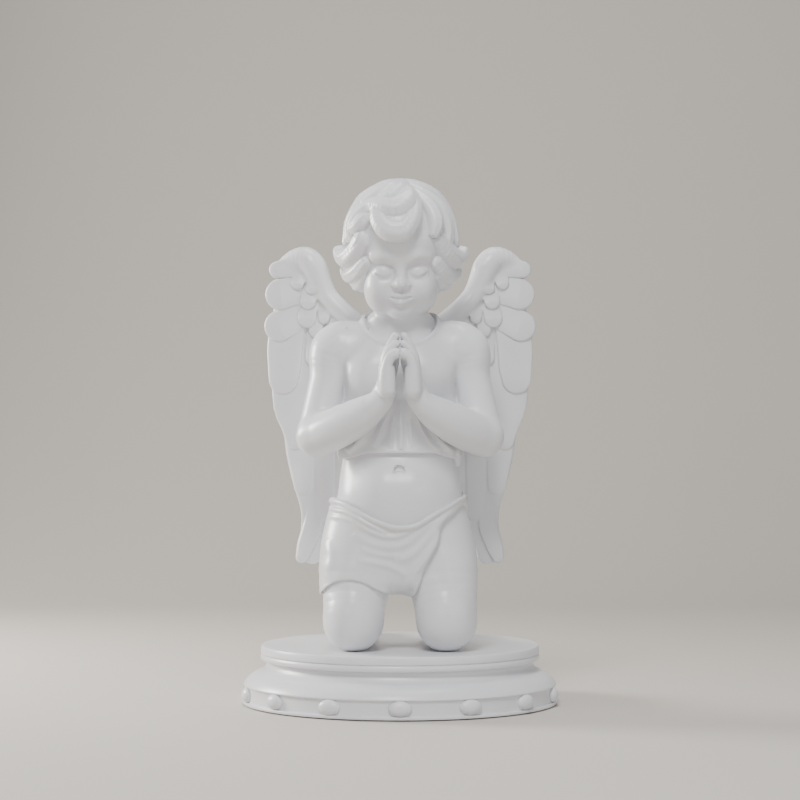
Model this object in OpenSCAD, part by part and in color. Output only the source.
// Kneeling, praying cherub on a round moulded plinth, cast in white resin and pinned together.
// Millimetres. +Z is up, the figure faces -Y, and the origin is under the plinth's centre.
// Left and right are the figure's own, so its left side is +X.

/* [Overall] */
// Height of the figure, from the plinth's top to the crown of its hair
figure_h = 211; // [176:1:253]
// Diameter of the plinth across its lower lip
plinth_d = 144; // [120:0.5:173]

/* [Plinth] */
// Height of the rounded lip that the plinth stands on
lip_h = 1.4; // [1.2:0.1:3]
// Height of the flat band that carries the studs
band_h = 6.8; // [5:0.1:9]
// Depth that the band is set in behind the lip
band_inset = 1.4; // [1:0.1:3]
// Height of the rounded moulding over the band
roll_h = 5.7; // [4:0.1:8]
// Width of the rounded moulding over the band
roll_w = 5.6; // [4:0.1:7]
// Height of the hollow moulding under the cap
cove_h = 4.0; // [2.5:0.1:6]
// Width of the hollow moulding under the cap
cove_w = 4.9; // [4:0.1:6]
// Height of the plain neck between the hollow moulding and the cap
neck_h = 1.8; // [1:0.1:4]
// Thickness of the round cap that the figure kneels on
cap_h = 6.8; // [6:0.1:12]
// Distance that the cap's edge lies inside the lip
cap_inset = 8.0; // [5:0.1:9]
// Depth of the groove round the cap's edge
cap_groove = 0.9; // [0.4:0.1:2]
// Diameter of the spigot that centres the cap on the base
spigot_d = 90; // [84:1:96]
// Height of that spigot
spigot_h = 2.5; // [1.5:0.1:3.5]
// Number of studs round the band
stud_n = 14; // [8:1:18]
// Width of an oval stud along the band
stud_w = 10.4; // [7:0.1:12]
// Plain band left above and below a stud
stud_margin = 0.2; // [0.1:0.1:1]
// Distance that a stud stands out of the band
stud_rise = 3.0; // [2:0.1:4]
// Thickness of the felt under the plinth
felt_t = 1.5; // [1:0.1:3]
// Depth of the recess that the felt is glued into
felt_recess = 1.0; // [0.5:0.1:2]
// Width of the plinth's rim left round the felt
felt_rim = 6.0; // [4:0.5:12]

/* [Pins and screws] */
// Diameter of the steel dowels in the big joints
dowel_d = 4.0; // [2:0.1:4.8]
// Length of a dowel in the body's joints
dowel_l = 18; // [12:1:22]
// Diameter of the dowels in the wrists
wrist_dowel_d = 2.0; // [1.5:0.1:2.5]
// Shank diameter of the screws that hold the figure to the plinth
screw_d = 5.0; // [3:0.1:6]
// Length of those screws under the head
screw_l = 42; // [35:1:50]
// Head diameter of those screws
screw_head_d = 9.5; // [8:0.1:12]
// Height of the screw heads
screw_head_h = 3.0; // [2:0.1:4]
// Depth of the pocket that hides each screw head
screw_pocket = 5.0; // [4:0.1:7]
// Outer diameter of the washers
washer_d = 14; // [12:0.5:18]
// Thickness of the washers
washer_t = 1.0; // [0.6:0.1:2]

/* [Fits] */
// Glue space round a dowel, on the radius
glue = 0.15; // [0.05:0.05:0.3]
// Air left past the end of a dowel or screw
end_gap = 0.5; // [0.3:0.1:1]
// Space between the hair's inside and the skull
hair_gap = 0.15; // [0.1:0.05:0.4]

/* [Hidden] */

resin = [0.86, 0.86, 0.87];
steel = [0.62, 0.64, 0.66];
felt_green = [0.16, 0.30, 0.22];

design_h = 211;              // the figure's points below are given for this height
u = figure_h / design_h;     // so they are multiplied by u
big = 400;                   // larger than the whole object, for cutting half spaces

// Heights of the plinth, from the table up
foot_z = felt_t - felt_recess;
band_z = foot_z + lip_h;
roll_z = band_z + band_h;
cove_z = roll_z + roll_h;
neck_z = cove_z + cove_h;
cap_z = neck_z + neck_h;
top_z = cap_z + cap_h;

// Radii of the plinth
roll_inset = 0.4;
ledge = 0.5;
lip_r = plinth_d / 2;
band_r = lip_r - band_inset;
roll_r = lip_r - roll_inset;
cove_r = roll_r - roll_w;
neck_r = cove_r - cove_w;
cap_r = lip_r - cap_inset;
felt_r = lip_r - felt_rim;
stud_h = band_h - 2 * stud_margin;
stud_pin_l = 3;
stud_pin_r = 1.5;

// ---- Helpers -------------------------------------------------------------

function lerp(a, b, t) = a + (b - a) * t;
function unit(v) = v / norm(v);
// A point of the figure's design, moved to the top of the plinth at the real size
function at(p) = [p.x * u, p.y * u, top_z + p.z * u];
// A shallow curve from a to b that bulges to the right of that way by the given amount
function bow(a, b, bulge, n) = let (d = unit(b - a), side = [d.y, -d.x])
    [for (i = [0 : n]) let (t = i / n) lerp(a, b, t) + side * bulge * 4 * t * (1 - t)];
// Points on an arc in a plane, from angle a0 to a1, with radii rx and ry
function arc(c, rx, ry, a0, a1, n) =
    [for (i = [0 : n]) let (a = lerp(a0, a1, i / n)) c + [rx * cos(a), ry * sin(a)]];

// A closed skin over a list of rings that all have the same number of points
module skin(rings) {
    n = len(rings[0]);
    m = len(rings);
    sides = [for (i = [0 : m - 2], j = [0 : n - 1], half = [0, 1])
        let (k = (j + 1) % n, a = i * n + j, b = i * n + k, c = b + n, d = a + n)
        half == 0 ? [a, b, c] : [a, c, d]];
    ends = [[for (j = [n - 1 : -1 : 0]) j], [for (j = [0 : n - 1]) (m - 1) * n + j]];
    polyhedron(points = [for (r = rings, p = r) p], faces = [for (f = concat(sides, ends))
        [for (j = [len(f) - 1 : -1 : 0]) f[j]]], convexity = 6);
}

// A level oval ring: levels are [height, centre y, half width, half depth]
function oval(level, grow, n) = [for (i = [0 : n - 1])
    let (a = 360 * i / n)
    at([0, level[1], level[0]]) + [(level[2] * u + grow) * cos(a), (level[3] * u + grow) * sin(a), 0]];
module trunk(levels, grow = 0, n = 28) {
    skin([for (l = levels) oval(l, grow, n)]);
}

// A route with rounded corners. Each knot is [point, half thickness, bend radius]
function corner(a, b, c, bend, n) =
    let (d1 = unit(b - a), d2 = unit(c - b), half = acos(d1 * d2) / 2,
         inward = unit(d2 - d1), ahead = unit(d1 + d2), centre = b + inward * bend / cos(half))
    [for (i = [0 : n]) let (w = lerp(-half, half, i / n))
        centre + bend * (ahead * sin(w) - inward * cos(w))];
function route(knots) = [for (i = [0 : len(knots) - 1])
    let (k = knots[i], inner = i > 0 && i < len(knots) - 1)
    for (p = inner && k[2] > 0 ? corner(knots[i - 1][0], k[0], knots[i + 1][0], k[2], 6) : [k[0]])
        [p, k[1]]];
// Round rings along a route. "across" stays square to every stretch of it
function limb_rings(knots, across, flat, n) =
    let (r = route(knots), last = len(r) - 1)
    [for (i = [0 : last])
        let (t = unit(r[min(i + 1, last)][0] - r[max(i - 1, 0)][0]),
             x = unit(across - t * (across * t)), y = cross(t, x))
        [for (j = [0 : n - 1]) let (a = 360 * j / n)
            at(r[i][0]) + u * r[i][1] * (x * cos(a) * flat + y * sin(a))]];
module limb(knots, across, flat = 1, n = 18) {
    skin(limb_rings(knots, across, flat, n));
}

// A round hole or pin that starts at point p of the design and runs along direction d
module pin(p, d, length, r) {
    turn = unit(d);
    translate(at(p)) rotate([0, acos(turn.z), atan2(turn.y, turn.x)])
        translate([0, 0, -length / 2]) cylinder(h = length, r = r, $fn = 48);
}
module dowel(p, d) { pin(p, d, dowel_l, dowel_d / 2); }
module dowel_hole(p, d) { pin(p, d, dowel_l + 2 * end_gap, dowel_d / 2 + glue); }
module hip_hole() { dowel_hole(hip_dowel_p, hip_dir); }

// ---- Joint faces, shared by the pieces on both sides -----------------------

hem_z = 87;                                    // the tunic's hem, where chest and abdomen meet
neck_cut_z = 144;                              // where head and chest meet
shoulder_x = 24;                               // where arm and chest meet
shoulder_y = -38;                              // the forearms lie in front of this plane
waist_p = [0, -22, 65.5];                      // a point of the cloth's tilted upper edge
waist_tilt = 26.5;                             // how far that edge rises towards the back
cloth_edge_p = [17, 0, 42];                    // a point of the cloth's slanting side edge
cloth_edge_tilt = 29;                          // how far that edge leans from upright
cloth_hem_z = 25;                              // the cloth's lower hem over the right thigh
seat_y = -6;                                   // the flat seat for the wings on the back
seat_z = 104;                                  // and where that seat starts
thigh_tenon_r = 11;                            // the round tenon on the right thigh
thigh_tenon_h = 10;

waist_dowel_ps = [[-11, -22, 65.5], [11, -22, 65.5]];
chest_dowel_p = [0, -22, hem_z];
hip_dowel_p = [21, -23, 49.2];
shoulder_dowel_p = [shoulder_x, -20, 131];
neck_dowel_p = [0, -22, neck_cut_z];
wing_dowel_ps = [[11.5, seat_y, 131], [11.5, seat_y, 115]];
wrist_dowel_p = [11.6, -52.8, 107.6];

wrist_dir = [-27, -22, 20];
waist_up = [0, -sin(waist_tilt), cos(waist_tilt)];
hip_dir = [cos(cloth_edge_tilt), 0, -sin(cloth_edge_tilt)];
screw_p = [19.6, -29, 0];
screw_top_z = foot_z + screw_pocket + washer_t + screw_l;

module above_waist() {
    translate(at(waist_p)) rotate([waist_tilt, 0, 0]) translate([-big / 2, -big / 2, 0]) cube(big);
}
module below_waist() {
    translate(at(waist_p)) rotate([waist_tilt, 0, 0]) translate([-big / 2, -big / 2, -big]) cube(big);
}
module beyond_cloth_edge() {
    translate(at(cloth_edge_p)) rotate([0, cloth_edge_tilt, 0]) translate([0, -big / 2, -big / 2]) cube(big);
}
module within_cloth_edge() {
    translate(at(cloth_edge_p)) rotate([0, cloth_edge_tilt, 0]) translate([-big, -big / 2, -big / 2]) cube(big);
}
module above(z) { translate([-big / 2, -big / 2, top_z + z * u]) cube(big); }
module below(z) { translate([-big / 2, -big / 2, top_z + z * u - big]) cube(big); }

// ---- Plinth ----------------------------------------------------------------

module felt_pad() {
    color(felt_green) cylinder(h = felt_t, r = felt_r - glue, $fn = 128);
}

module base_profile() {
    lip_round = lip_h / 2;
    polygon(concat(
        [[0, foot_z]],
        arc([lip_r - lip_round, foot_z + lip_round], lip_round, lip_round, -90, 90, 8),
        [[band_r, band_z], [band_r, roll_z], [roll_r, roll_z]],
        bow([roll_r, roll_z + ledge], [cove_r, cove_z], ledge, 6),
        bow([cove_r - ledge, cove_z + ledge], [neck_r, neck_z], -1.6 * ledge, 6),
        [[neck_r, cap_z], [spigot_d / 2, cap_z], [spigot_d / 2, cap_z + spigot_h],
         [0, cap_z + spigot_h]]));
}
module at_studs() {
    for (i = [0 : stud_n - 1])
        rotate(360 * i / stud_n - 90) translate([band_r, 0, band_z + band_h / 2]) children();
}
module screw_shaft_space(length) {
    for (side = [-1, 1])
        translate([screw_p.x * u * side, screw_p.y * u, 0]) cylinder(h = length, r = screw_d / 2 + glue, $fn = 48);
}
module plinth_base() {
    color(resin) difference() {
        rotate_extrude($fn = 160) base_profile();
        translate([0, 0, -1]) cylinder(h = 1 + felt_t, r = felt_r, $fn = 128);
        for (side = [-1, 1])
            translate([screw_p.x * u * side, screw_p.y * u, 0])
                cylinder(h = foot_z + screw_pocket + washer_t, r = washer_d / 2 + glue, $fn = 64);
        screw_shaft_space(top_z);
        at_studs() rotate([0, 90, 0])
            cylinder(h = 2 * (stud_pin_l + end_gap), r = stud_pin_r + glue, center = true, $fn = 32);
    }
}

module cap_profile() {
    roll = (cap_h - 1.2) / 2;
    polygon(concat(
        [[0, cap_z + spigot_h + end_gap], [spigot_d / 2 + glue, cap_z + spigot_h + end_gap],
         [spigot_d / 2 + glue, cap_z]],
        arc([cap_r - cap_groove - 0.6, cap_z + roll * 0.44], cap_groove + 0.6, roll * 0.44, -90, 90, 8),
        [[cap_r - cap_groove, cap_z + roll]],
        arc([cap_r - cap_groove - 0.3, top_z - roll * 0.58], cap_groove + 0.3, roll * 0.58, -90, 90, 8),
        [[0, top_z]]));
}
module plinth_cap() {
    color(resin) difference() {
        rotate_extrude($fn = 160) cap_profile();
        screw_shaft_space(top_z + 1);
    }
}

module rim_studs() {
    color(resin) at_studs() {
        skin([for (t = [0, 25, 48, 68, 84]) [for (i = [0 : 15]) let (a = 360 * i / 16)
            [stud_rise * sin(t), stud_w / 2 * cos(t) * cos(a), stud_h / 2 * cos(t) * sin(a)]]]);
        translate([-stud_pin_l, 0, 0]) rotate([0, 90, 0])
            cylinder(h = stud_pin_l + stud_rise / 2, r = stud_pin_r, $fn = 32);
    }
}

module base_screws() {
    color(steel) for (side = [-1, 1])
        translate([screw_p.x * u * side, screw_p.y * u, foot_z + screw_pocket]) {
            translate([0, 0, -screw_head_h]) cylinder(h = screw_head_h, r = screw_head_d / 2, $fn = 48);
            cylinder(h = washer_t + screw_l, r = screw_d / 2, $fn = 48);
        }
}
module base_washers() {
    color(steel) for (side = [-1, 1])
        translate([screw_p.x * u * side, screw_p.y * u, foot_z + screw_pocket]) difference() {
            cylinder(h = washer_t, r = washer_d / 2, $fn = 64);
            translate([0, 0, -1]) cylinder(h = washer_t + 2, r = screw_d / 2 + glue, $fn = 48);
        }
}

// ---- Legs and cloth --------------------------------------------------------

knee_bend = 14.4;
leg_knots = [[[15, -21.5, 70], 17, 0], [[17.8, -24, 52], 17.4, 0], [[20, -34.6, 10.6], 14, knee_bend],
             [[19.6, 4, 10], 11.4, 0], [[18.6, 24, 8], 8.2, 0], [[18.2, 34, 6.5], 6.6, 0],
             [[18.4, 44, 6.4], 6.9, 0], [[18.8, 53, 4.6], 5.2, 0], [[18.9, 57, 3.6], 3, 0]];
module leg() { limb(leg_knots, [1, 0, 0], 1.02, 20); }
module screw_hole() {
    translate([screw_p.x * u, screw_p.y * u, top_z - 1])
        cylinder(h = screw_top_z - top_z + 1 + end_gap, r = screw_d / 2 + glue, $fn = 48);
}
module right() { mirror([1, 0, 0]) children(); }
module leg_right() {
    color(resin) right() difference() {
        union() {
            difference() {
                leg();
                above(cloth_hem_z);
            }
            translate(at([screw_p.x, screw_p.y, cloth_hem_z - 4]))
                cylinder(h = 4 * u + thigh_tenon_h, r = thigh_tenon_r * u, $fn = 64);
        }
        below(0);
        screw_hole();
    }
}
hip_levels = [[31, -24.6, 32.4, 20], [40, -23.8, 33.4, 22], [48, -23, 34, 23.4], [58, -22, 32.4, 23.6],
              [66, -21.5, 31, 23.2], [74, -21.5, 29.2, 22.2], [82, -21.8, 27.4, 21]];
module leg_left() {
    color(resin) difference() {
        union() {
            leg();
            trunk(hip_levels);
        }
        within_cloth_edge();
        above_waist();
        below(0);
        screw_hole();
        hip_hole();
    }
}

cloth_levels = [[cloth_hem_z - 1, -26.5, 35.6, 21.8], [30, -26, 35.4, 22.6], [38, -24.6, 35, 23.6],
                [48, -23, 34.2, 24.4], [58, -22, 32.6, 24.6], [66, -21.5, 31.2, 24],
                [73, -21.5, 29.4, 23], [80, -21.8, 28, 21.8]];
module loincloth() {
    color(resin) difference() {
        trunk(cloth_levels);
        above_waist();
        below(cloth_hem_z);
        beyond_cloth_edge();
        right() {
            translate(at([screw_p.x, screw_p.y, cloth_hem_z - 1]))
                cylinder(h = u + thigh_tenon_h + end_gap, r = thigh_tenon_r * u + glue, $fn = 64);
            screw_hole();
        }
        for (p = waist_dowel_ps) dowel_hole(p, waist_up);
        hip_hole();
    }
}

// ---- Body ------------------------------------------------------------------

belly_levels = [[46, -22.5, 29.5, 21], [56, -23, 30, 22.6], [64, -23.6, 29.4, 23.2],
                [71, -23.8, 28.2, 22.8], [79, -23.2, 26.2, 21.4], [hem_z, -22.4, 24.8, 19.4]];
module abdomen() {
    color(resin) difference() {
        trunk(belly_levels);
        below_waist();
        for (p = waist_dowel_ps) dowel_hole(p, waist_up);
        dowel_hole(chest_dowel_p, [0, 0, 1]);
    }
}

chest_levels = [[hem_z, -22.2, 26.2, 20.8], [92, -22, 25.4, 19.8], [100, -21.6, 25, 19],
                [110, -21, 25.2, 18.6], [120, -20.8, 26.4, 18.2], [129, -20.6, 27.8, 17.2],
                [135, -20.6, 27, 15.8], [139, -20.8, 23.5, 14.4], [142, -21.2, 18, 13.2],
                [neck_cut_z, -21.8, 13.4, 12.6]];
module tunic_chest() {
    color(resin) difference() {
        trunk(chest_levels);
        for (side = [0, 1]) mirror([side, 0, 0]) {
            translate([shoulder_x * u, -big / 2, 0]) cube(big);
            dowel_hole(shoulder_dowel_p, [1, 0, 0]);
            for (p = wing_dowel_ps) dowel_hole(p, [0, 1, 0]);
        }
        translate([-big / 2, seat_y * u, top_z + seat_z * u]) cube(big);
        dowel_hole(chest_dowel_p, [0, 0, 1]);
        dowel_hole(neck_dowel_p, [0, 0, 1]);
    }
}

// ---- Arms and hands ----------------------------------------------------------

arm_knots = [[[20, -19, 133], 8.4, 0], [[26, -19.6, 132], 10.2, 6], [[32.6, -24, 111], 9.8, 0],
             [[38, -28.6, 89], 9.4, 9], [[25, -41.6, 98.2], 8.9, 0], [[15, -50.2, 105], 6.9, 0],
             [[8.5, -55.3, 110], 5.2, 0]];
// The half space past the wrist's joint face, towards the fingers
module past_wrist() {
    turn = unit(wrist_dir);
    translate(at(wrist_dowel_p)) rotate([0, acos(turn.z), atan2(turn.y, turn.x)])
        translate([-big / 2, -big / 2, 0]) cube(big);
}
module before_wrist() {
    turn = unit(wrist_dir);
    translate(at(wrist_dowel_p)) rotate([0, acos(turn.z), atan2(turn.y, turn.x)])
        translate([-big / 2, -big / 2, -big]) cube(big);
}
module wrist_hole() { pin(wrist_dowel_p, wrist_dir, dowel_l / 2 + 2 * end_gap, wrist_dowel_d / 2 + glue); }
module arm() {
    color(resin) difference() {
        limb(arm_knots, [0.75, -0.62, -0.1], 1, 18);
        translate([-big + shoulder_x * u, shoulder_y * u, 0]) cube(big);
        past_wrist();
        dowel_hole(shoulder_dowel_p, [1, 0, 0]);
        wrist_hole();
    }
}
module arm_left() { arm(); }
module arm_right() { right() arm(); }

// A chain of hulls through balls: each is [point, radius]
module chain(balls) {
    for (i = [0 : len(balls) - 2]) hull() {
        translate(at(balls[i][0])) sphere(r = balls[i][1] * u, $fn = 14);
        translate(at(balls[i + 1][0])) sphere(r = balls[i + 1][1] * u, $fn = 14);
    }
}
palm_gap = 0.1;             // half the seam between the two hands
finger_n = 4;               // beside the thumb: number 0 is the little finger, in front
finger_pitch = 3.5;
finger_tip_z = 131.5;       // of the little finger
module hand() {
    color(resin) difference() {
        union() {
            chain([[[9.4, -54.6, 109.2], 5], [[5.9, -57.4, 113], 5.2], [[5.2, -57.2, 121], 4.8]]);
            for (i = [0 : finger_n - 1]) {
                y = -62.4 + finger_pitch * i;
                tip = finger_tip_z + 3.4 * min(i, 2.4);
                chain([[[5.4, y, 118], 2.5], [[3.9, y, lerp(120, tip, 0.6)], 2.2], [[2.1, y, tip], 1.8]]);
            }
            chain([[[5.6, -51.6, 111], 2.6], [[4.6, -49.6, 118], 2.3], [[2.4, -49.4, 124], 2]]);
        }
        translate([palm_gap - big, -big / 2, 0]) cube(big);
        before_wrist();
        wrist_hole();
    }
}
module hand_left() { hand(); }
module hand_right() { right() hand(); }

// ---- Head and hair -----------------------------------------------------------

head_levels = [[neck_cut_z, -22.5, 12.4, 12.4], [146.5, -26, 12.6, 16], [148.5, -28.4, 14, 18.2],
               [152, -28.6, 16.8, 19.8], [159, -28, 19.4, 21.6], [168, -26.8, 20.6, 22.8],
               [178, -25.8, 21.4, 23.4], [188, -25.2, 20.4, 22.4], [196, -25, 16.8, 18.6],
               [202, -25, 10.6, 12], [204.5, -25, 4.6, 5]];
module head() {
    color(resin) difference() {
        trunk(head_levels);
        dowel_hole(neck_dowel_p, [0, 0, 1]);
    }
}

hair_t = 5;                 // thickness of the hair over the skull
hairline_z = 184;           // top of the opening for the face
hair_nape_z = 158;
face_half_w = 16;
side_locks = 5;             // curls down each side of the head
module hair_locks() {
    for (i = [0 : side_locks - 1]) {
        turn = 62 - 24 * i;
        x = 24 * cos(turn);
        y = -24 - 24 * sin(turn);
        chain([[[x, y, 183 - 1.5 * i], 5], [[x * 1.1, y + 1, 170 - 1.2 * i], 4.2]]);
    }
    chain([[[23, -34, 180], 4.6], [[28.4, -31, 178.6], 3]]);
}
module hair() {
    color(resin) difference() {
        union() {
            difference() {
                trunk(head_levels, hair_t * u);
                below(hair_nape_z);
                translate(at([-face_half_w, -70, 100])) cube([2 * face_half_w * u, 44 * u, (hairline_z - 100) * u]);
            }
            for (side = [0, 1]) mirror([side, 0, 0]) hair_locks();
            chain([[[-12, -46, 192], 4.6], [[-2, -48.5, 186], 5], [[8, -46.5, 189], 5], [[10, -40, 199], 4.6]]);
            translate(at([0, -25, 196])) scale([18, 19, 15]) sphere(r = u, $fn = 28);
        }
        trunk(head_levels, hair_gap);
    }
}

// ---- Wings -------------------------------------------------------------------

// [height, inner edge x, outer edge x, half thickness], for the left wing
wing_levels = [[185.6, 41, 45.5, 2.6], [182.6, 36.8, 52.5, 4.8], [177, 33.6, 59, 5.4], [171, 32, 61.8, 5],
               [163, 29, 62.4, 4.6], [156, 22, 63, 4.6], [149, 12, 63.4, 4.8], [139, 4.6, 63, 4.8],
               [127, 4, 61.6, 4.4], [115, 4.6, 59.6, 4], [103, 7, 56, 3.6], [89, 12, 51.6, 3.4],
               [72, 19, 48.4, 3.2], [56, 26, 46.8, 3], [44, 31.5, 48, 2.6], [36, 36, 48.6, 2]];
wing_sweep = 0.34;          // how fast the wing runs back towards its outer edge
wing_root_y = -4;           // where the wing's sheet would meet the body's centre plane
wing_boss_r = 7.5;
wing_n = 20;
function wing_y(x) = wing_root_y + wing_sweep * x;
function wing_ring(l) = let (mid = (l[1] + l[2]) / 2, half = (l[2] - l[1]) / 2)
    [for (j = [0 : wing_n - 1]) let (a = 360 * j / wing_n, x = mid + half * cos(a))
        at([x, wing_y(x) - l[3] * sin(a), l[0]])];
module wing() {
    color(resin) difference() {
        union() {
            skin([for (l = wing_levels) wing_ring(l)]);
            for (p = wing_dowel_ps) translate(at(p)) rotate([-90, 0, 0])
                cylinder(h = 11 * u, r = wing_boss_r * u, $fn = 48);
        }
        translate([-big / 2, seat_y * u - big, 0]) cube(big);
        for (p = wing_dowel_ps) dowel_hole(p, [0, 1, 0]);
    }
}
module wing_left() { wing(); }
module wing_right() { right() wing(); }

// ---- Steel dowels --------------------------------------------------------------

module waist_dowels() {
    color(steel) {
        for (p = waist_dowel_ps) dowel(p, waist_up);
        dowel(chest_dowel_p, [0, 0, 1]);
    }
}
module hip_dowel() { color(steel) dowel(hip_dowel_p, hip_dir); }
module shoulder_dowels() {
    color(steel) for (side = [0, 1]) mirror([side, 0, 0]) dowel(shoulder_dowel_p, [1, 0, 0]);
}
module neck_dowel() { color(steel) dowel(neck_dowel_p, [0, 0, 1]); }
module wing_dowels() {
    color(steel) for (side = [0, 1], p = wing_dowel_ps) mirror([side, 0, 0]) dowel(p, [0, 1, 0]);
}
module wrist_dowels() {
    color(steel) for (side = [0, 1]) mirror([side, 0, 0])
        pin(wrist_dowel_p, wrist_dir, dowel_l / 2, wrist_dowel_d / 2);
}

felt_pad();
plinth_base();
plinth_cap();
rim_studs();
base_screws();
base_washers();
leg_right();
leg_left();
loincloth();
abdomen();
tunic_chest();
arm_right();
arm_left();
hand_right();
hand_left();
head();
hair();
wing_right();
wing_left();
waist_dowels();
hip_dowel();
shoulder_dowels();
neck_dowel();
wing_dowels();
wrist_dowels();
